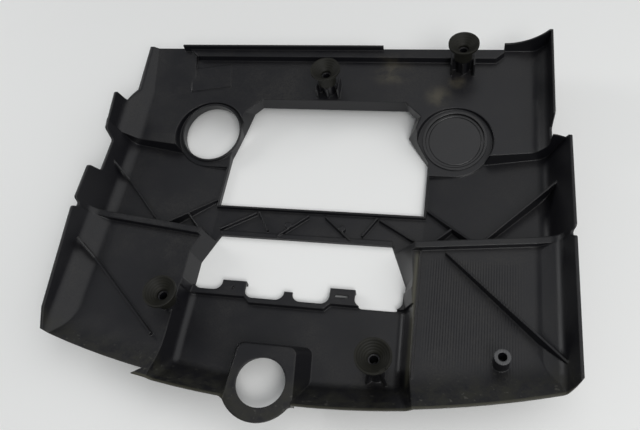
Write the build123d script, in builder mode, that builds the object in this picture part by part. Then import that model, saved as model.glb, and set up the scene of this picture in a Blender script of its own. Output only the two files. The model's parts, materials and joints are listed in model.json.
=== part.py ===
from build123d import *
from math import cos, radians, sin, sqrt, tan
import os

# Moulded engine cover, lying on its show face with its underside up.
# X is to the right, Y to the rear and Z up, in millimetres.
# The origin is on the show face, at the middle of the bridge between the two openings.

# Walls
wall = 2.5
rib_wall = 2.4
fold_radius = 16.0

# Heights of the inner faces above the show face
deck_height = 28.7
deck_tilt = 4.0
deck_foot_height = 42.0
strip_height = 37.0
side_height = 30.0
side_foot_height = 42.0
middle_foot_height = 16.0
plate_height = 32.0
scallop_height = 9.0
rear_ledge_rise = 9.0

# Heights of the skirts' top edges
skirt_height = 66.0
flare_height = 70.0
left_front_height = 54.0
right_front_height = 65.0
skirt_corner_height = 44.0
skirt_gap_height = 47.0
skirt_notch_height = 54.0
rear_skirt_height = 77.0
rear_skirt_fall = 6.0
rear_wall_height = 52.0
hook_height = 62.0
left_rear_height = 47.0
left_dip_height = 42.0

# Half widths of the cross-sections
side_flat = 255.0
side_fold = 22.0
skirt_lean = 12.0
middle_flat = 130.0
middle_fold = 13.0
deck_fold_left = 27.0
deck_fold_right = 14.0

# Lines across the cover
step_y = 95.5
step_x = 193.0
strip_y = -35.0
strip_x = 127.0
strip_width = 8.0
sweep_angle = 6.4
rear_y = 252.0
rear_ledge_y = 237.0
rear_plain_y = 254.0
rear_corner_y = 257.0
rear_ledge_left = -200.0
rear_ledge_right = 216.0
rear_ledge_slant = 1.2
rear_ledge_chamfer = 10.0
rear_lip_left = -224.0
rear_lip_right = 60.0
rear_lip_height = 7.0

# Gaps and notches along the skirts
right_gap_rear = 131.0
right_gap_front = 104.0
left_dip_y = 178.0
left_skirt_rear = 150.0
left_gap_rear = 90.0
left_gap_front = 33.0
gap_slant = 4.0
notch_y = -22.0
notch_width = 12.0
skirt_corner_y = -155.0
skirt_rounding = 4.0
skirt_cut_x = 216.0

# Curved front edge
front_radius = 1000.0
front_y = -228.0
front_corner_radius = 30.0
apron_width = 36.0
apron_rise = 14.0
apron_blend = 90.0
torn_depth = 9.5
torn_x = -161.0

# Upper opening
upper_front_y = 19.0
upper_rear_y = 172.5
upper_rear_foot = 15.0
upper_half_width = 129.0
upper_rear_half_width = 104.0
upper_waist_y = 95.0
upper_bulge = 5.0
upper_lean = 14.0
upper_corner = 24.0
rim_height = 5.0

# Lower opening
lower_rear_y = -22.0
lower_front_y = -84.0
lower_left_rear = -117.0
lower_left_y = -60.0
lower_right_rear = 95.0
lower_right_y = -72.0
lower_corner_y = -94.0
lower_margin = 1.0
bridge_lip = 6.0
bridge_lip_height = 3.0

# Low panel behind the front edge, and its scalloped ledge
box_left = -135.0
box_right = 116.0
box_lean = 26.0
box_left_lean = 14.0
box_spread = 3.0
box_front_inset = 33.0
box_blend = 12.0
box_corner = 9.0
ledge_y = -103.0
ledge_taper = 5.0
ledge_bulge = 7.0
ledge_bulge_left = -62.0
ledge_bulge_right = 26.0
scallop_margin = 6.0
scallop_radius = 10.0
scallop_length = 40.0
scallops = [(-133.0, -98.0), (-69.0, -22.0), (-12.0, 31.0), (60.0, 114.0)]
middle_tab_x = -17.0
middle_tab_y = -93.0
tab_slot_x = 45.0
tab_slot_y = -93.0
tab_slot_length = 16.0
tab_slot_width = 3.5
tab_hole_x = -84.0
tab_hole_radius = 1.6

# Round seats
seat_x = 160.0
seat_y = 124.0
seat_height = 19.5
seat_tilt = 14.5
seat_radius = 45.5
seat_lean = 6.0
seat_offset = 2.5
left_hole_radius = 39.0
right_hole_radius = 37.0
collar_wall = 2.5
collar_depth = 9.0
collar_rise = 3.5

# Cap in the right seat
cap_clearance = 0.3
cap_flange_radius = 39.5
cap_flange = 2.0
cap_rim = 3.5
cap_dish = 0.5
cap_plate = 2.5
cap_depth = 7.0
cap_wall = 2.5

# Oil-filler plate
filler_x = -22.5
filler_y = -206.0
filler_radius = 26.5
tongue_x = -24.0
tongue_radius = 41.5
tongue_blend = 6.0
plate_rear_y = -166.0
plate_half_width = 32.0
plate_slope = 12.0
plate_spread = 10.0
plate_corner = 9.0

# Square pad on the rear deck
pad_x = -175.5
pad_y = 206.0
pad_width = 39.0
pad_length = 56.0
pad_rise = 1.4
pad_turn = 10.0
pad_gap = 4.0
corner_rise = 5.0

# Ribs, each from place to place with the height of its top at both ends
paired_ribs = [
    ((133.0, 27.0), (186.0, -19.0), 8.0, 22.0),
    ((163.0, 1.0), (142.0, -21.0), 14.0, 19.0),
    ((77.0, 11.0), (120.0, -15.0), 8.0, 8.0),
    ((74.0, 13.0), (58.0, -13.0), 8.0, 8.0),
    ((10.5, 11.0), (45.0, -19.5), 8.0, 8.0),
]
single_ribs = [
    ((198.0, -17.0), (279.0, 60.0), 21.0, 38.0),
    ((-200.0, -13.0), (-254.0, 42.0), 16.0, 21.0),
    ((-254.0, 42.0), (-282.0, 66.0), 21.0, 40.0),
    ((-273.0, -65.0), (-252.0, -82.0), 55.0, 38.0),
    ((-252.0, -82.0), (-156.0, -167.0), 38.0, 36.0),
    ((158.0, -42.0), (280.0, -159.0), 37.0, 47.0),
    ((130.5, -40.0), (131.5, -186.0), 33.0, 33.0),
]
pin_x = 33.5
pin_y = -5.0
pin_radius = 4.0
pin_height = 9.0

# Posts: place and height of the top
post_radius = 8.25
post_bore = 4.5
post_bore_depth = 20.0
gusset_reach = 8.0
gusset_angles = {"front_right": [45.0, 135.0], "front_left": [60.0, 100.0]}
tower_half_width = 14.0
tower_front = 11.0
tower_rear = 11.0
tower_posts = ("rear_left", "rear_right")
posts = {
    "front_right": (94.0, -176.5, 51.0),
    "front_left": (-146.0, -128.0, 51.0),
    "rear_left": (-6.5, 187.0, 65.0),
    "rear_right": (164.5, 227.0, 71.0),
    "bare": (218.0, -161.0, 52.0),
}

# Rubber grommets
grommet_radius = 19.0
grommet_rim = 1.5
grommet_edge = 3.0
grommet_bore = 6.2
grommet_cup_depth = 10.0
grommet_floor = 3.0
grommet_sleeve = 11.0
grommet_clearance = 0.25
grommet_wall = 3.0
tear_width = 8.0
tear_angle = -52.0

# Room for the construction solids
top = 78.0
reach = 345.0
below = 30.0

side_foot = side_flat + side_fold
skirt_top = side_foot + skirt_lean
middle_foot = side_flat + middle_fold
deck_foot_left = side_flat + deck_fold_left
deck_foot_right = side_flat + deck_fold_right
deck_slope = tan(radians(deck_tilt))
sweep = tan(radians(sweep_angle))
arc_y = front_y + front_radius
box_front_radius = front_radius - box_front_inset
room = top + 2 * below
far_front = front_y - 2 * below
far_rear = rear_corner_y + below


def across(y):
    """Upright plane across the cover, with X to the right and Z up."""
    return Plane(origin=(0, y, 0), x_dir=(1, 0, 0), z_dir=(0, -1, 0))


def along(x):
    """Upright plane along the cover, with Y to the right and Z up."""
    return Plane(origin=(x, 0, 0), x_dir=(0, 1, 0), z_dir=(1, 0, 0))


def seat_plane(side, lift=0.0):
    """Tilted plane of a round seat, on the left (-1) or the right (1)."""
    tilt = radians(seat_tilt)
    normal = Vector(0, -sin(tilt), cos(tilt))
    centre = Vector(side * seat_x, seat_y, seat_height)
    return Plane(origin=centre + normal * lift, x_dir=(1, 0, 0), z_dir=normal)


def deck_level(y):
    """Height of the sloping rear deck."""
    return deck_height + (y - step_y) * deck_slope


def swept_line(y, start_x):
    """Line across the cover that sweeps back from start_x to the skirts."""
    back = y + (reach - start_x) * sweep
    return [(-reach, back), (-start_x, y), (start_x, y), (reach, back)]


def arc_point(x, radius):
    """Point at x on a front curve of the given radius."""
    return (x, arc_y - sqrt(radius**2 - x**2))


def left_of(half):
    """Left half of a cross-section, from the points of a right half."""
    return [(-x, z) for x, z in reversed(half)]


def flared(half):
    """Half section whose last slope runs on up to the full height."""
    (x0, z0), (x1, z1) = half[-2:]
    return half[:-1] + [(x1 + (room - z1) * (x1 - x0) / (z1 - z0), room)]


# Cross-sections of the panels, from the middle out
middle_half = flared([(middle_flat, wall), (middle_foot, middle_foot_height), (skirt_top, flare_height)])
side_half = flared([(side_flat, side_height), (side_foot, side_foot_height), (skirt_top, flare_height)])
strip_foot = (strip_height + side_foot_height) / 2
strip_half = flared([(side_flat, strip_height), (side_foot, strip_foot), (skirt_top, flare_height)])
deck_left = flared(
    [(side_flat, deck_height), (deck_foot_left, deck_foot_height), (skirt_top, rear_skirt_height)]
)
deck_right = [(side_flat, deck_height), (deck_foot_right, deck_foot_height), (deck_foot_right + wall, room)]

# Plan outlines of the panels
step_line = swept_line(step_y, step_x)
strip_rear = swept_line(strip_y + strip_width / 2, strip_x)
strip_front = swept_line(strip_y - strip_width / 2, strip_x)
middle_plan = step_line + strip_rear[::-1]
strip_plan = strip_rear + strip_front[::-1]
side_plan = strip_front + [(reach, far_front), (-reach, far_front)]
rear_ledge_far_left = rear_ledge_left - (far_rear - rear_ledge_y) * rear_ledge_slant
rear_ledge_front = [
    (rear_ledge_left, rear_ledge_y),
    (rear_ledge_right - rear_ledge_chamfer, rear_ledge_y),
    (rear_ledge_right, rear_ledge_y + rear_ledge_chamfer),
]
deck_plan = step_line + [
    (reach, rear_corner_y),
    (rear_ledge_right, rear_corner_y),
    *rear_ledge_front[::-1],
    (rear_ledge_far_left, far_rear),
    (-reach, far_rear),
]
rear_ledge_plan = [*rear_ledge_front, (rear_ledge_right, far_rear), (rear_ledge_far_left, far_rear)]


def upper_outline(lean, corner):
    """Outline of the upper opening, waisted beside the right seat."""
    half = upper_rear_half_width + lean
    return [
        (-upper_half_width, upper_front_y),
        (upper_half_width, upper_front_y),
        (upper_half_width, upper_waist_y),
        (half - upper_bulge, (upper_waist_y + upper_rear_y) / 2),
        (half, upper_rear_y - corner),
        (half - corner, upper_rear_y),
        (corner - half, upper_rear_y),
        (-half, upper_rear_y - corner),
        (-upper_half_width, upper_waist_y),
    ]


lower_left = box_left + lower_margin
lower_left_high = lower_left - box_left_lean * strip_height / skirt_height
lower_right = box_right - lower_margin
lower_low = [
    (lower_left_rear, lower_rear_y),
    (lower_left, lower_left_y),
    (lower_left, lower_corner_y),
    (scallops[0][1], lower_front_y),
    (lower_right, lower_front_y),
    (lower_right, lower_right_y),
    (lower_right_rear, lower_rear_y),
]
lower_high = [
    (-strip_x, lower_rear_y),
    (lower_left_high, lower_left_y),
    (lower_left_high, lower_corner_y),
    (scallops[0][1], lower_front_y),
    (strip_x, lower_front_y),
    (strip_x, lower_right_y),
    (strip_x - lower_margin, lower_rear_y),
]
ledge_line = [
    (ledge_bulge_left - ledge_bulge, ledge_y),
    (ledge_bulge_left, ledge_y - ledge_bulge),
    (ledge_bulge_right, ledge_y - ledge_bulge),
    (ledge_bulge_right + ledge_bulge, ledge_y),
]


def box_outline(lean):
    """Outline of the low front panel, whose right wall leans out."""
    left = box_left - box_left_lean * lean / box_lean
    right = box_right + lean
    front = [(right + box_spread, far_front), (left, far_front)]
    return [(left, ledge_y)] + ledge_line + [(right, ledge_y)] + front


def ledge_outline(lean):
    """Outline of the scalloped ledge behind the low front panel."""
    left = box_left - box_left_lean * lean / box_lean
    right = box_right + lean
    rear = [(right - ledge_taper, lower_left_y), (left + ledge_taper, lower_left_y)]
    return [(left, ledge_y)] + ledge_line + [(right, ledge_y)] + rear


def plate_outline(lean):
    """Outline of the raised oil-filler plate, which widens to the front."""
    half = plate_half_width + lean
    rear = plate_rear_y + lean
    return [
        (filler_x - half, rear),
        (filler_x - half - plate_spread, far_front),
        (filler_x + half + plate_spread, far_front),
        (filler_x + half, rear),
    ]


def trough(left, right, plan, grow, slope=0.0):
    """Space above a cross-section, within a plan outline, grown by an even amount."""
    start = -2 * reach
    drop = (start - step_y) * slope
    section = [(x, z + drop) for x, z in left_of(left) + right]
    with BuildPart() as space:
        with BuildSketch(across(start)):
            with BuildLine():
                FilletPolyline(*section, radius=fold_radius, close=True)
            make_face()
            if grow:
                offset(amount=grow, kind=Kind.INTERSECTION)
        extrude(amount=4 * reach, dir=(0, 1, slope))
        with BuildSketch(Plane.XY.offset(-below)):
            with BuildLine():
                Polyline(*plan, close=True)
            make_face()
            if grow:
                offset(amount=grow, kind=Kind.INTERSECTION)
        extrude(amount=room, mode=Mode.INTERSECT)
    return space.part


def bowl(flat_radius, floor, rise, run, blend, grow):
    """Space above a floor that curves up along the front edge."""
    far = front_radius + 4 * below
    high = floor + rise / run * (far - flat_radius)
    outline = [(-reach, floor), (flat_radius, floor), (far, high), (far, 3 * room), (-reach, 3 * room)]
    with BuildPart() as space:
        with BuildSketch(Plane(origin=(0, arc_y, 0), x_dir=(0, -1, 0), z_dir=(-1, 0, 0))):
            with BuildLine():
                FilletPolyline(*outline, radius=blend, close=True)
            make_face()
            if grow:
                offset(amount=grow, kind=Kind.INTERSECTION)
            Rectangle(2 * reach, 8 * room, align=(Align.MAX, Align.CENTER), mode=Mode.SUBTRACT)
        revolve(axis=Axis((0, arc_y, 0), (0, 0, 1)))
    return space.part


def well(low_outline, low_z, high_outline, high_z, grow, corner=0.0):
    """Space with sloping walls between a low and a high outline, with rounded corners."""
    with BuildPart() as space:
        for outline, z in ((low_outline, low_z), (high_outline, high_z)):
            with BuildSketch(Plane.XY.offset(z)):
                with BuildLine():
                    if corner:
                        FilletPolyline(*outline, radius=corner, close=True)
                    else:
                        Polyline(*outline, close=True)
                make_face()
                if grow:
                    offset(amount=grow, kind=Kind.INTERSECTION)
        loft(ruled=True)
    return space.part


def seat_space(side, grow, down):
    """Space above a round seat with a straight shoulder, or the space under it."""
    radius = seat_radius - grow if down else seat_radius + grow
    lean = radians(seat_lean)
    cone_radius = seat_radius + grow * (1 - sin(lean)) / cos(lean)
    with BuildPart() as space:
        with BuildSketch(seat_plane(side, -grow)):
            with Locations((0, -seat_offset)):
                Circle(cone_radius if not down else radius)
            with Locations((-side * radius / 2, -seat_offset - radius / 2)):
                Rectangle(radius, radius)
        extrude(amount=-2 * below if down else room)
        if not down:
            with Locations(seat_plane(side, -grow)):
                with Locations((0, -seat_offset)):
                    Cone(
                        cone_radius,
                        cone_radius + below * tan(lean),
                        below,
                        align=(Align.CENTER, Align.CENTER, Align.MIN),
                    )
    return space.part


def front_sides(grow):
    """Space above the front side panels, which turn up at the curved front edge."""
    panels = trough(side_half, side_half, side_plan, grow)
    apron = bowl(front_radius - apron_width, side_height, apron_rise, apron_width, apron_blend, grow)
    with BuildPart() as space:
        add(panels)
        add(apron, mode=Mode.INTERSECT)
    return space.part


def front_box(grow):
    """Space above the low front panel, with a steep curb along the front."""
    panel = well(box_outline(0), wall - grow, box_outline(box_lean), skirt_height - grow, grow)
    curb = bowl(box_front_radius, wall, strip_height, front_radius - box_front_radius, box_blend, grow)
    with BuildPart() as space:
        add(panel)
        add(curb, mode=Mode.INTERSECT)
        for side in (0, -1):
            side_wall = faces().sort_by(Axis.X)[side]
            foot = side_wall.edges().sort_by(Axis.Y)[:-1].sort_by(Axis.Z)[:-1]
            fillet(foot, radius=box_corner + grow)
    return space.part


def inside(grow):
    """Space on the inner side of the cover, grown by an even amount."""
    middle = trough(middle_half, middle_half, middle_plan, grow)
    deck = trough(deck_left, deck_right, deck_plan, grow, deck_slope)
    strip = trough(strip_half, strip_half, strip_plan, grow)
    sides = front_sides(grow)
    rear_ledge_height = deck_level(rear_ledge_y) + rear_ledge_rise
    rear_ledge = well(rear_ledge_plan, rear_ledge_height - grow, rear_ledge_plan, room, grow)
    under_seats = [seat_space(side, grow, True) for side in (-1, 1)]
    over_seats = [seat_space(side, grow, False) for side in (-1, 1)]
    box = front_box(grow)
    ledge_top = skirt_height - grow
    ledge = well(ledge_outline(0), scallop_height - grow, ledge_outline(box_lean), ledge_top, grow)
    plate_low = plate_outline(plate_slope)
    plate_high = plate_outline(0)
    under_plate = well(plate_low, -grow, plate_high, plate_height - grow, -grow, plate_corner)
    over_plate = well(plate_high, plate_height - grow, plate_high, room, grow, plate_corner)
    upper_low = upper_outline(0, wall)
    upper_high = upper_outline(upper_lean, upper_corner)
    upper = well(upper_low, 0, upper_high, deck_level(upper_rear_y) + wall, grow)
    lower = well(lower_low, 0, lower_high, strip_height + wall, grow)
    with BuildPart() as space:
        add([middle, deck, strip, sides, rear_ledge])
        add(under_seats, mode=Mode.SUBTRACT)
        add(over_seats)
        add([box, ledge])
        add(under_plate, mode=Mode.SUBTRACT)
        add(over_plate)
        add([upper, lower])
    return space.part


def plate_between(start, end, start_height, end_height):
    """Upright rib between two places, with its top edge at the given heights."""
    run = Vector(end[0] - start[0], end[1] - start[1], 0)
    normal = Vector(run.Y, -run.X, 0)
    with BuildPart() as rib:
        with BuildSketch(Plane(origin=(start[0], start[1], 0), x_dir=run, z_dir=normal)):
            with BuildLine():
                Polyline((0, 0), (run.length, 0), (run.length, end_height), (0, start_height), close=True)
            make_face()
        extrude(amount=rib_wall / 2, both=True)
    return rib.part


def skirt_cut(side, line):
    """Space above the top edge of a skirt, given from the rear to the front."""
    with BuildPart() as space:
        with BuildSketch(along(side * skirt_cut_x)):
            with BuildLine():
                ends = [(line[-1][0], room), (line[0][0], room)]
                FilletPolyline(*line, *ends, radius=skirt_rounding, close=True)
            make_face()
        extrude(amount=side * reach)
    return space.part


skirt_end_y = arc_point(skirt_top, front_radius)[1]
notch = [
    (notch_y + notch_width / 2, skirt_height),
    (notch_y, skirt_notch_height),
    (notch_y - notch_width / 2, skirt_height),
]
right_line = [
    (far_rear, rear_skirt_height),
    (right_gap_rear, rear_skirt_height - rear_skirt_fall),
    (right_gap_rear - gap_slant, skirt_gap_height),
    (right_gap_front + gap_slant, skirt_gap_height),
    (right_gap_front, skirt_height),
    *notch,
    (far_front, right_front_height),
]
left_line = [
    (far_rear, left_rear_height + gap_slant),
    (left_dip_y, left_dip_height),
    (left_skirt_rear + gap_slant, left_rear_height),
    (left_skirt_rear, rear_skirt_height - rear_skirt_fall),
    (left_gap_rear + gap_slant, hook_height),
    (left_gap_rear - gap_slant, skirt_gap_height),
    (left_gap_front + gap_slant, skirt_gap_height),
    (left_gap_front, skirt_height),
    *notch,
    (skirt_corner_y, left_front_height),
    (skirt_end_y, skirt_corner_height),
    (far_front, skirt_corner_height),
]
left_skirt_cut = skirt_cut(-1, left_line)
right_skirt_cut = skirt_cut(1, right_line)

# Outline of the cover in plan, with its curved front edge torn off at the left and the filler tongue
torn_radius = front_radius - torn_depth
outline_right = skirt_top + skirt_lean / 2
with BuildSketch() as plan_outline:
    with BuildLine():
        Polyline(
            arc_point(outline_right, front_radius),
            (outline_right, rear_corner_y + wall),
            (rear_ledge_right, rear_corner_y + wall),
            (rear_ledge_right, rear_y),
            (rear_lip_left, rear_y),
            (rear_lip_left, rear_plain_y),
            (-reach, rear_plain_y),
            arc_point(-reach, torn_radius),
        )
        ThreePointArc(
            arc_point(-reach, torn_radius),
            arc_point((torn_x - reach) / 2, torn_radius),
            arc_point(torn_x + torn_depth, torn_radius),
        )
        Line(arc_point(torn_x + torn_depth, torn_radius), arc_point(torn_x, front_radius))
        ThreePointArc(
            arc_point(torn_x, front_radius),
            arc_point(0, front_radius),
            arc_point(outline_right, front_radius),
        )
    make_face()
    fillet(vertices().sort_by(Axis.X)[-2:].sort_by(Axis.Y)[0], radius=front_corner_radius)
    with Locations((tongue_x, filler_y)):
        Circle(tongue_radius)
    tongue_centre = Vector(tongue_x, filler_y)
    roots = vertices().sort_by(lambda corner: (Vector(corner) - tongue_centre).length)[:2]
    fillet(roots, radius=tongue_blend)

# Ribs, rims and posts, which stand on the inner faces
ribs = [plate_between(*rib) for rib in single_ribs]
for (start_x, start_y), (end_x, end_y), start_height, end_height in paired_ribs:
    for side in (-1, 1):
        start = (side * start_x, start_y)
        end = (side * end_x, end_y)
        ribs.append(plate_between(start, end, start_height, end_height))


def gusset(x, y, height, angle):
    """Upright web through a post, wider at its foot."""
    foot = post_radius + gusset_reach
    direction = Vector(cos(radians(angle)), sin(radians(angle)), 0)
    normal = Vector(direction.Y, -direction.X, 0)
    with BuildPart() as web:
        with BuildSketch(Plane(origin=(x, y, 0), x_dir=direction, z_dir=normal)):
            with BuildLine():
                Polyline((-foot, 0), (foot, 0), (post_radius, height), (-post_radius, height), close=True)
            make_face()
        extrude(amount=rib_wall / 2, both=True)
    return web.part


def tower(x, y, height):
    """Ribs that box in the foot of a post."""
    webs = [plate_between((x - tower_half_width, y), (x + tower_half_width, y), height, height)]
    for offset_x in (-tower_half_width, 0, tower_half_width):
        start = (x + offset_x, y - tower_front)
        end = (x + offset_x, y + tower_rear)
        webs.append(plate_between(start, end, height, height))
    return webs


for place, (x, y, height) in posts.items():
    web_height = height - grommet_sleeve - rib_wall
    if place in tower_posts:
        ribs.extend(tower(x, y, web_height))
    for angle in gusset_angles.get(place, []):
        ribs.append(gusset(x, y, web_height, angle))

wedge_front = pad_y - pad_length / 2
wedge_side = pad_x - pad_width / 2 - pad_gap
with BuildPart() as corner_wedge:
    with BuildSketch(along(-reach)):
        with BuildLine():
            Polyline(
                (wedge_front, 0),
                (wedge_front, deck_level(wedge_front)),
                (rear_plain_y, deck_level(rear_plain_y) + corner_rise),
                (rear_plain_y, 0),
                close=True,
            )
        make_face()
    extrude(amount=reach)
    with BuildSketch():
        with Locations(Location((wedge_side, pad_y), pad_turn)):
            Rectangle(reach, reach, align=(Align.MAX, Align.CENTER))
    extrude(amount=room, mode=Mode.INTERSECT)

half_wall_space = inside(wall / 2)
with BuildPart() as stiffeners:
    add(ribs)
    for x, y, height in posts.values():
        with Locations((x, y, 0)):
            Cylinder(post_radius, height, align=(Align.CENTER, Align.CENTER, Align.MIN))
    for side in (-1, 1):
        with Locations((side * pin_x, pin_y, 0)):
            Cylinder(pin_radius, pin_height, align=(Align.CENTER, Align.CENTER, Align.MIN))
    # Rim along the bridge and the front of the upper opening
    with Locations((0, upper_front_y, 0)):
        Box(
            2 * (upper_half_width + rib_wall),
            rib_wall,
            wall + rim_height,
            align=(Align.CENTER, Align.MAX, Align.MIN),
        )
    for side in (-1, 1):
        with Locations((side * (upper_half_width + rib_wall / 2), upper_front_y, 0)):
            Box(
                rib_wall,
                seat_y - seat_radius - upper_front_y,
                wall + rim_height,
                align=(Align.CENTER, Align.MIN, Align.MIN),
            )
    # Lip along the front of the bridge
    with Locations(((lower_left_rear + lower_right_rear) / 2, lower_rear_y, 0)):
        Box(
            lower_right_rear - lower_left_rear,
            bridge_lip,
            wall + bridge_lip_height,
            align=(Align.CENTER, Align.MIN, Align.MIN),
        )
    # Lip behind the rear ledge
    with Locations(((rear_lip_left + rear_lip_right) / 2, rear_y, 0)):
        Box(
            rear_lip_right - rear_lip_left,
            wall,
            deck_level(rear_ledge_y) + rear_ledge_rise + rear_lip_height,
            align=(Align.CENTER, Align.MAX, Align.MIN),
        )
    # Square pad, and the deck's left corner that rises beside it
    with Locations(Plane(origin=(pad_x, pad_y, deck_level(pad_y)), z_dir=(0, -deck_slope, 1))):
        with Locations(Rotation(0, 0, pad_turn)):
            Box(pad_width, pad_length, 2 * pad_rise)
    add(corner_wedge.part)
    add(half_wall_space, mode=Mode.INTERSECT)

# Shell: the wall is what lies between the inner space and the same space grown by the wall
outer_space = inside(wall)
inner_space = inside(0)
with BuildPart() as cover_shell:
    add(outer_space)
    add(inner_space, mode=Mode.SUBTRACT)
    extrude(plan_outline.sketch, amount=top, mode=Mode.INTERSECT)
    add([left_skirt_cut, right_skirt_cut], mode=Mode.SUBTRACT)
    # Rear wall, falling away from the right corner
    with BuildSketch(across(rear_ledge_y)):
        with BuildLine():
            Polyline(
                (deck_foot_right, rear_skirt_height),
                (deck_foot_right, room),
                (rear_ledge_right - below, room),
                (rear_ledge_right - below, rear_wall_height),
                (rear_ledge_right, rear_wall_height),
            )
            TangentArc(
                (rear_ledge_right, rear_wall_height),
                (deck_foot_right, rear_skirt_height),
                tangent=(1, 0),
            )
        make_face()
    extrude(amount=-2 * below, mode=Mode.SUBTRACT)
    # Lower edge of the upper opening, which rises to the rear
    with BuildSketch(along(-upper_half_width)):
        with BuildLine():
            Polyline(
                (upper_waist_y, -below),
                (upper_waist_y, 0),
                (upper_rear_y, upper_rear_foot),
                (upper_rear_y + 2 * wall, upper_rear_foot),
                (upper_rear_y + 2 * wall, -below),
                close=True,
            )
        make_face()
    extrude(amount=2 * upper_half_width, mode=Mode.SUBTRACT)
    add(stiffeners.part)
    # Collar round the open seat
    with BuildSketch(seat_plane(-1, -collar_depth)):
        Circle(left_hole_radius + collar_wall)
    extrude(amount=collar_depth + collar_rise)
    for side, radius in ((-1, left_hole_radius), (1, right_hole_radius)):
        with BuildSketch(seat_plane(side, -collar_depth)):
            Circle(radius)
        extrude(amount=collar_depth + collar_rise, mode=Mode.SUBTRACT)
    # Filler hole and scallops
    with BuildSketch():
        with Locations((filler_x, filler_y)):
            Circle(filler_radius)
    extrude(amount=room, mode=Mode.SUBTRACT)
    with BuildSketch():
        for left, right in scallops:
            middle_x = (left + right) / 2
            bulge = ledge_bulge if middle_x > ledge_bulge_left else 0
            with Locations((middle_x, ledge_y - bulge + scallop_margin)):
                RectangleRounded(
                    right - left,
                    scallop_length,
                    scallop_radius,
                    align=(Align.CENTER, Align.MIN),
                )
        with Locations((middle_tab_x, middle_tab_y)):
            Rectangle(2 * scallop_radius, scallop_radius, align=(Align.CENTER, Align.MIN))
        with Locations((tab_slot_x, tab_slot_y)):
            SlotOverall(tab_slot_length, tab_slot_width)
        with Locations((tab_hole_x, tab_slot_y)):
            Circle(tab_hole_radius)
    extrude(amount=scallop_height + wall, mode=Mode.SUBTRACT)
    # Bores of the posts
    for x, y, height in posts.values():
        with Locations((x, y, height)):
            Hole(post_bore, post_bore_depth)

# Cap in the right seat
cap_radius = right_hole_radius - cap_clearance
with BuildPart() as round_cap:
    with BuildSketch(Plane.XZ) as half:
        with BuildLine():
            Polyline(
                (0, -cap_dish - cap_plate),
                (cap_radius - cap_wall, -cap_dish - cap_plate),
                (cap_radius - cap_wall, -cap_depth),
                (cap_radius, -cap_depth),
                (cap_radius, 0),
                (cap_flange_radius, 0),
                (cap_flange_radius, cap_flange),
                (cap_flange_radius - cap_rim, cap_flange),
                (cap_flange_radius - cap_rim, -cap_dish),
                (0, -cap_dish),
                close=True,
            )
        make_face()
    revolve(axis=Axis.Z)
round_cap.part = seat_plane(1).location * round_cap.part


def grommet(place):
    """Rubber cup over a post: funnel, bore and sleeve."""
    x, y, height = posts[place]
    sleeve = post_radius + grommet_clearance
    outer = sleeve + grommet_wall
    rim = grommet_floor + grommet_cup_depth
    with BuildPart() as cup:
        with BuildSketch(Plane.XZ):
            with BuildLine():
                Polyline(
                    (grommet_bore, 0),
                    (grommet_bore, grommet_floor),
                    (grommet_radius - grommet_rim, rim),
                    (grommet_radius, rim),
                    (grommet_radius, rim - grommet_edge),
                    (outer, grommet_floor),
                    (outer, -grommet_sleeve),
                    (sleeve, -grommet_sleeve),
                    (sleeve, 0),
                    close=True,
                )
            make_face()
        revolve(axis=Axis.Z)
        if place == "front_right":
            with Locations(Location((0, 0, rim), (0, 0, tear_angle))):
                with Locations((grommet_radius, 0, 0)):
                    Box(2 * grommet_edge, tear_width, 2 * grommet_edge, mode=Mode.SUBTRACT)
    return Location((x, y, height)) * cup.part


os.makedirs("parts", exist_ok=True)
cover_shell.part.label = "cover_shell"
export_step(cover_shell.part, "parts/cover_shell.step")
round_cap.part.label = "round_cap"
export_step(round_cap.part, "parts/round_cap.step")
for place in posts:
    if place != "bare":
        cup = grommet(place)
        cup.label = "grommet_" + place
        export_step(cup, "parts/grommet_" + place + ".step")
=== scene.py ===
import json
import math

import bpy
from mathutils import Matrix, Vector


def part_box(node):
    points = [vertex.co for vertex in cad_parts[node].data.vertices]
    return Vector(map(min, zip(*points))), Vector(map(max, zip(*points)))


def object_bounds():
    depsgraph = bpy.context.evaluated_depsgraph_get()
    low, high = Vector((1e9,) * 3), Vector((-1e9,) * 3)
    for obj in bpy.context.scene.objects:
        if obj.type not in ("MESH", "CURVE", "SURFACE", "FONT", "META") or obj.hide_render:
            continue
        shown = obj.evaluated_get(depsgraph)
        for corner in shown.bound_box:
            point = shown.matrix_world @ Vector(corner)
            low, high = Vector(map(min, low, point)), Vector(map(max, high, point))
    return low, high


# Lengths are in metres, as in the frame
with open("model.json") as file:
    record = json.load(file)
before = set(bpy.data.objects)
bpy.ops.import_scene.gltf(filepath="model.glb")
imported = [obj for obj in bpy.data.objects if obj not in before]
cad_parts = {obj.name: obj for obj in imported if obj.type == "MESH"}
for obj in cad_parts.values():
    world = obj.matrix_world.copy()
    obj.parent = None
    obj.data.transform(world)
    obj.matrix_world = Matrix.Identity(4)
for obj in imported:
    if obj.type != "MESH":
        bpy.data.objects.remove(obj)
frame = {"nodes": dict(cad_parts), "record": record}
nodes = frame["nodes"]
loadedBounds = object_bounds()
mounts = {mount["name"]: mount for mount in frame["record"]["mounts"]}
millimetre = 0.001
print("loaded", len(nodes), "nodes")


# A value is an output to link, or a constant that is set on the socket itself
def addNode(tree, kind, values=None, **options):
    node = tree.nodes.new("ShaderNode" + kind)
    for name, value in options.items():
        setattr(node, name, value)
    for name, value in (values or {}).items():
        if isinstance(value, bpy.types.NodeSocket):
            tree.links.new(value, node.inputs[name])
        else:
            node.inputs[name].default_value = value
    return node


def addMath(tree, operation, first, second=0.0):
    return addNode(tree, "Math", {0: first, 1: second}, operation=operation).outputs["Value"]


def addVectorMath(tree, operation, first, second):
    return addNode(tree, "VectorMath", {0: first, 1: second}, operation=operation)


# Several masks or distances made one, two at a time
def combine(tree, operation, parts):
    combined = parts[0]
    for part in parts[1:]:
        combined = addMath(tree, operation, combined, part)
    return combined


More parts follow.
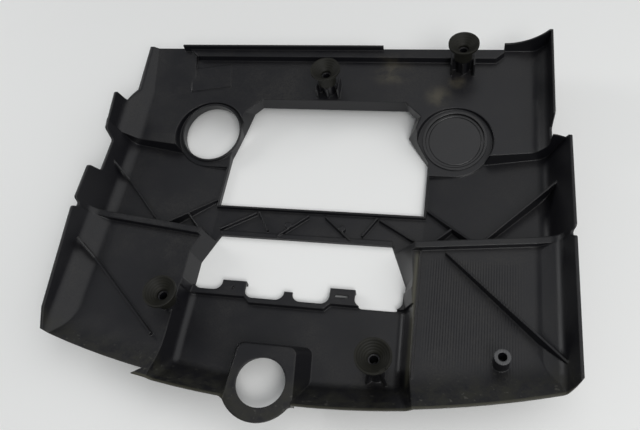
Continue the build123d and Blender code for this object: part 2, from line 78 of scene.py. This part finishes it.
# Eases from 0 at the first level to 1 at the last, whichever is the higher
def addRange(tree, value, first, last):
    values = {"Value": value, "From Min": first, "From Max": last}
    return addNode(tree, "MapRange", values, interpolation_type="SMOOTHSTEP").outputs["Result"]


# How far a value is from a middle, on either side
def addSpan(tree, value, middle):
    return addMath(tree, "ABSOLUTE", addMath(tree, "SUBTRACT", value, middle))


def addWaves(tree, value, spacing):
    return addMath(tree, "SINE", addMath(tree, "MULTIPLY", value, math.tau / spacing))


# Distance from an upright line through a place
def flatDistance(tree, position, place):
    flat = addVectorMath(tree, "MULTIPLY", position, (1.0, 1.0, 0.0)).outputs["Vector"]
    return addVectorMath(tree, "DISTANCE", flat, (place[0], place[1], 0.0)).outputs["Value"]


def addNoise(tree, position, scale, detail, roughness):
    values = {"Vector": position, "Scale": scale, "Detail": detail, "Roughness": roughness}
    return addNode(tree, "TexNoise", values).outputs["Fac"]


# Noise cut to patches that are bare below the first level and full above the last
def addPatches(tree, position, pattern):
    noise = addNoise(tree, position, pattern["scale"], pattern["detail"], pattern["roughness"])
    return addRange(tree, noise, *pattern["levels"])


def addBump(tree, height, normal, strength, distance):
    values = {"Height": height, "Normal": normal, "Strength": strength, "Distance": distance}
    return addNode(tree, "Bump", values).outputs["Normal"]


# Sockets of a Mix node by their places, because their names repeat
mixPlaces = {
    "RGBA": {"mask": 0, "first": 6, "second": 7, "result": 2},
    "FLOAT": {"mask": 0, "first": 2, "second": 3, "result": 0},
}


def addMix(tree, kind, mask, first, second):
    places = mixPlaces[kind]
    values = {places["mask"]: mask, places["first"]: first, places["second"]: second}
    return addNode(tree, "Mix", values, data_type=kind).outputs[places["result"]]


# A group reads a position and its settings, and puts out one mask or normal
def newGroup(name, settings, result, kind):
    group = bpy.data.node_groups.new(name, "ShaderNodeTree")
    group.interface.new_socket("Position", in_out="INPUT", socket_type="NodeSocketVector")
    for label in settings:
        group.interface.new_socket(label, in_out="INPUT", socket_type="NodeSocketFloat")
    group.interface.new_socket(result, in_out="OUTPUT", socket_type="NodeSocket" + kind)
    start = group.nodes.new("NodeGroupInput").outputs
    end = group.nodes.new("NodeGroupOutput").inputs
    return group, start, end


def useGroup(tree, group, position, settings):
    return addNode(tree, "Group", {"Position": position, **settings}, node_tree=group).outputs[0]


edgeSamples = 6  # rays that find an edge near a point

# Fine moulded grain over edges that are rounded a little
grainPattern = {"detail": 2.0, "roughness": 0.6, "height": 0.0003}


def makeGrainGroup(pattern):
    settings = ["Grain Scale", "Depth", "Edge Radius"]
    group, start, end = newGroup("mouldedGrain", settings, "Normal", "Vector")
    rounded = addNode(group, "Bevel", {"Radius": start["Edge Radius"]}, samples=edgeSamples)
    grain = addNoise(group, start["Position"], start["Grain Scale"], pattern["detail"], pattern["roughness"])
    normal = addBump(group, grain, rounded.outputs["Normal"], start["Depth"], pattern["height"])
    group.links.new(normal, end["Normal"])
    return group


# Patchy dust on faces that look up
dustPattern = {
    "upward": (0.1, 0.9),  # upright part of the face's direction, from bare to dusty
    "patches": {"detail": 6.0, "roughness": 0.65, "levels": (0.35, 0.75)},
    "specks": {"scale": 420.0, "detail": 3.0, "roughness": 0.7, "levels": (0.3, 0.7)},
}


def makeDustGroup(pattern):
    group, start, end = newGroup("settledDust", ["Patch Scale", "Cover"], "Mask", "Float")
    normal = addNode(group, "NewGeometry").outputs["Normal"]
    facing = addNode(group, "SeparateXYZ", {"Vector": normal}).outputs
    patches = {"scale": start["Patch Scale"], **pattern["patches"]}
    settled = combine(group, "MULTIPLY", [
        addPatches(group, start["Position"], patches),
        addPatches(group, start["Position"], pattern["specks"]),
        addRange(group, facing["Z"], *pattern["upward"]),
        start["Cover"],
    ])
    group.links.new(settled, end["Mask"])
    return group


# Rubbed edges, where the rounded edge leaves the flat face
edgePattern = {
    "turned": (0.995, 0.85),  # how well the two directions agree, from clean to rubbed
    "breaks": {"scale": 160.0, "detail": 4.0, "roughness": 0.7, "levels": (0.35, 0.65)},
}


def makeEdgeGroup(pattern):
    group, start, end = newGroup("rubbedEdges", ["Edge Radius", "Amount"], "Mask", "Float")
    rounded = addNode(group, "Bevel", {"Radius": start["Edge Radius"]}, samples=edgeSamples)
    flat = addNode(group, "NewGeometry")
    match = addVectorMath(group, "DOT_PRODUCT", rounded.outputs["Normal"], flat.outputs["Normal"])
    rubbed = combine(group, "MULTIPLY", [
        addRange(group, match.outputs["Value"], *pattern["turned"]),
        addPatches(group, start["Position"], pattern["breaks"]),
        start["Amount"],
    ])
    group.links.new(rubbed, end["Mask"])
    return group


# Fine pale scratches that run one way
scuffPattern = {
    "turn": (0.0, 0.0, 0.6),
    "stretch": (14.0, 420.0, 60.0),
    "lines": {"scale": 1.0, "detail": 3.0, "roughness": 0.6, "levels": (0.66, 0.74)},
    "places": {"scale": 24.0, "detail": 3.0, "roughness": 0.6, "levels": (0.5, 0.7)},
}


def makeScuffGroup(pattern):
    group, start, end = newGroup("fineScuffs", ["Amount"], "Mask", "Float")
    position = start["Position"]
    mapping = {"Vector": position, "Rotation": pattern["turn"], "Scale": pattern["stretch"]}
    stretched = addNode(group, "Mapping", mapping).outputs["Vector"]
    scuffed = combine(group, "MULTIPLY", [
        addPatches(group, stretched, pattern["lines"]),
        addPatches(group, position, pattern["places"]),
        start["Amount"],
    ])
    group.links.new(scuffed, end["Mask"])
    return group


grainGroup = makeGrainGroup(grainPattern)
dustGroup = makeDustGroup(dustPattern)
edgeGroup = makeEdgeGroup(edgePattern)
scuffGroup = makeScuffGroup(scuffPattern)
print("patterns made")


# Colour, roughness and normal that the plastics and the rubber share
def makeSurface(name, look):
    material = bpy.data.materials.new(name)
    material.use_nodes = True
    tree = material.node_tree
    position = addNode(tree, "TexCoord").outputs["Object"]
    normal = useGroup(tree, grainGroup, position, {
        "Grain Scale": look["grainScale"],
        "Depth": look["grainDepth"],
        "Edge Radius": look["edgeRadius"],
    })
    dust = useGroup(tree, dustGroup, position, {
        "Patch Scale": look["patchScale"],
        "Cover": look["dust"],
    })
    edges = useGroup(tree, edgeGroup, position, {
        "Edge Radius": look["rubbedReach"],
        "Amount": look["rubbed"],
    })
    scuffs = useGroup(tree, scuffGroup, position, {"Amount": look["scuffs"]})
    worn = addMath(tree, "MAXIMUM", edges, scuffs)
    colour = addMix(tree, "RGBA", worn, look["colour"], look["wornColour"])
    colour = addMix(tree, "RGBA", dust, colour, look["dustColour"])
    roughness = addMix(tree, "FLOAT", dust, look["roughness"], look["dustyRoughness"])
    return material, position, colour, roughness, normal


def joinSurface(material, shine, colour, roughness, normal):
    tree = material.node_tree
    surface = tree.nodes["Principled BSDF"].inputs
    tree.links.new(colour, surface["Base Color"])
    tree.links.new(roughness, surface["Roughness"])
    tree.links.new(normal, surface["Normal"])
    surface["Specular IOR Level"].default_value = shine
    return material


# Blotchy dust and flecks along the curved front edge, and a pale rim on the edge itself
frontDust = {
    "centre": (0.0, 0.772),  # of the edge's arc, from which the next distances are taken
    "reach": (0.955, 0.992),
    "blotches": {"scale": 55.0, "detail": 6.0, "roughness": 0.75, "levels": (0.38, 0.66)},
    "colour": (0.016, 0.0156, 0.0108, 1.0),
    "roughness": 0.6,
    "flecks": {"scale": 210.0, "detail": 2.0, "roughness": 0.5, "levels": (0.64, 0.74)},
    "fleckColour": (0.045, 0.044, 0.038, 1.0),
    "rimInside": (0.9968, 0.9978),
    "rimOutside": (1.0012, 1.0004),
    "besideFiller": (0.035, 0.038),  # from the middle of the filler hole, where the rim stops
    "rimColour": (0.045, 0.043, 0.03, 1.0),
}


def addFrontDust(tree, position, axes, colour, roughness):
    outward = flatDistance(tree, position, frontDust["centre"])
    along = addRange(tree, outward, *frontDust["reach"])
    dusty = addMath(tree, "MULTIPLY", along, addPatches(tree, position, frontDust["blotches"]))
    colour = addMix(tree, "RGBA", dusty, colour, frontDust["colour"])
    roughness = addMix(tree, "FLOAT", dusty, roughness, frontDust["roughness"])
    flecked = addMath(tree, "MULTIPLY", along, addPatches(tree, position, frontDust["flecks"]))
    colour = addMix(tree, "RGBA", flecked, colour, frontDust["fleckColour"])
    fromFiller = addSpan(tree, axes["X"], mounts["filler_hole"]["pos_m"][0])
    onRim = combine(tree, "MULTIPLY", [
        addRange(tree, outward, *frontDust["rimInside"]),
        addRange(tree, outward, *frontDust["rimOutside"]),
        addRange(tree, fromFiller, *frontDust["besideFiller"]),
    ])
    return addMix(tree, "RGBA", onRim, colour, frontDust["rimColour"]), roughness


# Pale line on the ridge at the left of the right front panel: painted highlight where the rounded edge
# catches light, with some dust
ridgeDustAndHighlight = {
    "middle": 0.1268,
    "reach": 0.0042,
    "front": (-0.198, -0.185),
    "rear": (-0.036, -0.05),
    "colour": (0.06, 0.057, 0.04, 1.0),
}


def addRidgeDustAndHighlight(tree, axes, colour):
    onRidge = combine(tree, "MULTIPLY", [
        addRange(tree, addSpan(tree, axes["X"], ridgeDustAndHighlight["middle"]), ridgeDustAndHighlight["reach"], 0.0),
        addRange(tree, axes["Y"], *ridgeDustAndHighlight["front"]),
        addRange(tree, axes["Y"], *ridgeDustAndHighlight["rear"]),
    ])
    # Painted highlight along the ridge, mixed with some pale dust
    return addMix(tree, "RGBA", onRidge, colour, ridgeDustAndHighlight["colour"])


# Cloudy painted highlights on the rear deck, each with its place and its radius
paintedDeckHighlights = {
    "spots": [((0.0746, 0.2205), 0.034), ((0.1357, 0.1821), 0.024), ((0.158, 0.2071), 0.016)],
    "clouds": {"scale": 40.0, "detail": 4.0, "roughness": 0.6, "levels": (0.35, 0.65)},
    "amount": 0.7,
    "colour": (0.075, 0.066, 0.045, 1.0),
}


def addPaintedDeckHighlights(tree, position, colour):
    spots = []
    for place, radius in paintedDeckHighlights["spots"]:
        spots.append(addRange(tree, flatDistance(tree, position, place), radius, 0.0))
    highlighted = combine(tree, "MULTIPLY", [
        combine(tree, "MAXIMUM", spots),
        addPatches(tree, position, paintedDeckHighlights["clouds"]),
        paintedDeckHighlights["amount"],
    ])
    # Mixes in the painted highlight spots
    return addMix(tree, "RGBA", highlighted, colour, paintedDeckHighlights["colour"])


# Pale rim on top of the bare post
postRim = {
    "side": (0.009, 0.0088),  # from the middle of the post
    "below": (0.0006, 0.0002),  # under the top of the post
    "colour": (0.07, 0.07, 0.072, 1.0),
}


def addPostRim(tree, position, axes, colour):
    post = mounts["bare_post"]
    top = post["pos_m"][2] + post["dims"]["length_mm"] * millimetre / 2
    onPost = addRange(tree, flatDistance(tree, position, post["pos_m"]), *postRim["side"])
    onTop = addRange(tree, axes["Z"], *[top - depth for depth in postRim["below"]])
    onRim = addMath(tree, "MULTIPLY", onPost, onTop)
    return addMix(tree, "RGBA", onRim, colour, postRim["colour"])


# Fine moulded lines on the right front panel, which fade out towards its four sides
panelLines = {
    "left": (0.132, 0.15),
    "right": (0.25, 0.225),
    "front": (-0.185, -0.14),
    "rear": (-0.042, -0.055),
    "spacing": 0.0028,
    "depth": 0.5,
    "height": 0.0002,
}


def addPanelLines(tree, axes, normal):
    lines = combine(tree, "MULTIPLY", [
        addWaves(tree, axes["X"], panelLines["spacing"]),
        addRange(tree, axes["X"], *panelLines["left"]),
        addRange(tree, axes["X"], *panelLines["right"]),
        addRange(tree, axes["Y"], *panelLines["front"]),
        addRange(tree, axes["Y"], *panelLines["rear"]),
    ])
    return addBump(tree, lines, normal, panelLines["depth"], panelLines["height"])


# Black moulded plastic of the shell
plasticLook = {
    "colour": (0.0063, 0.0062, 0.008, 1.0),
    "wornColour": (0.055, 0.053, 0.04, 1.0),
    "dustColour": (0.045, 0.042, 0.036, 1.0),
    "dust": 0.4,
    "rubbed": 0.32,
    "scuffs": 0.25,
    "patchScale": 14.0,
    "grainScale": 1500.0,
    "grainDepth": 0.12,
    "edgeRadius": 0.0024,
    "rubbedReach": 0.001,
    "roughness": 0.36,
    "dustyRoughness": 0.75,
    "shine": 0.42,
}


def makePlastic(look):
    material, position, colour, roughness, normal = makeSurface("mouldedPlastic", look)
    tree = material.node_tree
    axes = addNode(tree, "SeparateXYZ", {"Vector": position}).outputs
    colour, roughness = addFrontDust(tree, position, axes, colour, roughness)
    colour = addRidgeDustAndHighlight(tree, axes, colour)
    colour = addPaintedDeckHighlights(tree, position, colour)
    colour = addPostRim(tree, position, axes, colour)
    normal = addPanelLines(tree, axes, normal)
    return joinSurface(material, look["shine"], colour, roughness, normal)


plastic = makePlastic(plasticLook)

# Smoother plastic of the cap, with grooves round its middle that carry painted shade
capLook = {
    # Lighter than the shell plastic: partly the cap's own tone, partly painted light that makes up for the
    # front lamp's light on the tilted cap
    "colour": (0.013, 0.0128, 0.0142, 1.0),
    "wornColour": (0.05, 0.05, 0.048, 1.0),
    "dustColour": (0.05, 0.047, 0.04, 1.0),
    "dust": 0.3,
    "rubbed": 0.5,
    "scuffs": 0.2,
    "patchScale": 30.0,
    "grainScale": 1800.0,
    "grainDepth": 0.06,
    "edgeRadius": 0.0007,
    "rubbedReach": 0.0007,
    "roughness": 0.32,
    "dustyRoughness": 0.7,
    "shine": 0.46,
    "middle": (0.16, 0.124, 0.0195),
    "grooves": [(0.0322, 0.0009), (0.0362, 0.0008)],  # radius of each and reach to either side
    "grooveDepth": 0.6,
    "grooveHeight": 0.0008,
    "paintedGrooveShade": (0.002, 0.002, 0.002, 1.0),
}


def makeCapPlastic(look):
    material, position, colour, roughness, normal = makeSurface("capPlastic", look)
    tree = material.node_tree
    fromMiddle = addVectorMath(tree, "DISTANCE", position, look["middle"]).outputs["Value"]
    grooves = []
    for radius, reach in look["grooves"]:
        grooves.append(addRange(tree, addSpan(tree, fromMiddle, radius), reach, 0.0))
    grooved = combine(tree, "MAXIMUM", grooves)
    # Painted shade: the grooves are coloured near black
    colour = addMix(tree, "RGBA", grooved, colour, look["paintedGrooveShade"])
    raised = addMath(tree, "SUBTRACT", 1.0, grooved)
    normal = addBump(tree, raised, normal, look["grooveDepth"], look["grooveHeight"])
    return joinSurface(material, look["shine"], colour, roughness, normal)


capPlastic = makeCapPlastic(capLook)

# Dull olive rubber with fine rings round each cup
rubberLook = {
    "colour": (0.0085, 0.0082, 0.0058, 1.0),
    "wornColour": (0.05, 0.047, 0.038, 1.0),
    "dustColour": (0.024, 0.0225, 0.0155, 1.0),
    "dust": 0.5,
    "rubbed": 0.5,
    "scuffs": 0.1,
    "patchScale": 60.0,
    "grainScale": 900.0,
    "grainDepth": 0.1,
    "edgeRadius": 0.0007,
    "rubbedReach": 0.0007,
    "roughness": 0.6,
    "dustyRoughness": 0.85,
    "shine": 0.26,
    "ringSpacing": 0.0023,
    "ringDepth": 0.3,
    "ringHeight": 0.0003,
}


def makeRubber(look, cups):
    material, position, colour, roughness, normal = makeSurface("grommetRubber", look)
    tree = material.node_tree
    distances = []
    for cup in cups:
        low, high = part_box(cup)
        middle = (Vector(low) + Vector(high)) / 2
        distances.append(flatDistance(tree, position, middle))
    rings = addWaves(tree, combine(tree, "MINIMUM", distances), look["ringSpacing"])
    normal = addBump(tree, rings, normal, look["ringDepth"], look["ringHeight"])
    return joinSurface(material, look["shine"], colour, roughness, normal)


cups = [name for name in nodes if name.startswith("grommet")]
rubber = makeRubber(rubberLook, cups)


def wear(node, material):
    node.data.materials.clear()
    node.data.materials.append(material)


for name, node in nodes.items():
    if name in cups:
        wear(node, rubber)
    elif name == "round_cap":
        wear(node, capPlastic)
    else:
        wear(node, plastic)
print("materials set")

# Pale floor under the show face, wide enough to reach the horizon
floorSettings = {"size": 40.0, "colour": (0.88, 0.88, 0.865, 1.0), "roughness": 0.6}


def makeFloor(settings):
    bpy.ops.mesh.primitive_plane_add(size=settings["size"], location=(0, 0, loadedBounds[0][2]))
    floor = bpy.context.object
    floor.name = "floor"
    material = bpy.data.materials.new("floorPaint")
    material.use_nodes = True
    surface = material.node_tree.nodes["Principled BSDF"].inputs
    surface["Base Color"].default_value = settings["colour"]
    surface["Roughness"].default_value = settings["roughness"]
    floor.data.materials.append(material)


makeFloor(floorSettings)
print("floor laid")

# Soft square lights that point at the origin, with the width of each and its power in watts
lightSettings = {
    "ceiling": {"place": (1.5, 0.4, 2.2), "size": 5.0, "power": 59.0},
    "front": {"place": (0.9, -1.5, 1.9), "size": 1.0, "power": 27.0},
    "left": {"place": (-1.7, 0.7, 0.9), "size": 0.8, "power": 7.0},
}


def makeLight(name, settings):
    light = bpy.data.lights.new(name, "AREA")
    light.size = settings["size"]
    light.energy = settings["power"]
    lamp = bpy.data.objects.new(name, light)
    lamp.location = settings["place"]
    lamp.rotation_euler = (-Vector(settings["place"])).to_track_quat("-Z", "Y").to_euler()
    bpy.context.scene.collection.objects.link(lamp)


for name, settings in lightSettings.items():
    makeLight(name, settings)

# Dim, slightly blue light from all round
worldSettings = {"colour": (0.9, 0.95, 1.0, 1.0), "strength": 0.2}


def makeWorld(settings):
    world = bpy.data.worlds.new("room")
    world.use_nodes = True
    backdrop = world.node_tree.nodes["Background"].inputs
    backdrop["Color"].default_value = settings["colour"]
    backdrop["Strength"].default_value = settings["strength"]
    bpy.context.scene.world = world


makeWorld(worldSettings)
print("lights set")

# Camera at the angle of the photograph, tilted a little to the side
cameraSettings = {
    "place": (0.1635, -0.3829, 0.6806),
    "aim": (0.00177, 0.01716, 0.0),
    "roll": -15.56,  # degrees
    "lens": 36.56,  # millimetres, as the sensor's width
    "sensor": 36.0,
}


def makeCamera(settings):
    lens = bpy.data.cameras.new("camera")
    lens.lens = settings["lens"]
    lens.sensor_width = settings["sensor"]
    camera = bpy.data.objects.new("camera", lens)
    place = Vector(settings["place"])
    sight = (Vector(settings["aim"]) - place).to_track_quat("-Z", "Y").to_matrix()
    turned = sight @ Matrix.Rotation(math.radians(settings["roll"]), 3, "Z")
    camera.matrix_world = Matrix.Translation(place) @ turned.to_4x4()
    bpy.context.scene.collection.objects.link(camera)
    bpy.context.scene.camera = camera


makeCamera(cameraSettings)
bpy.context.scene.view_settings.view_transform = "Standard"
print("camera set")
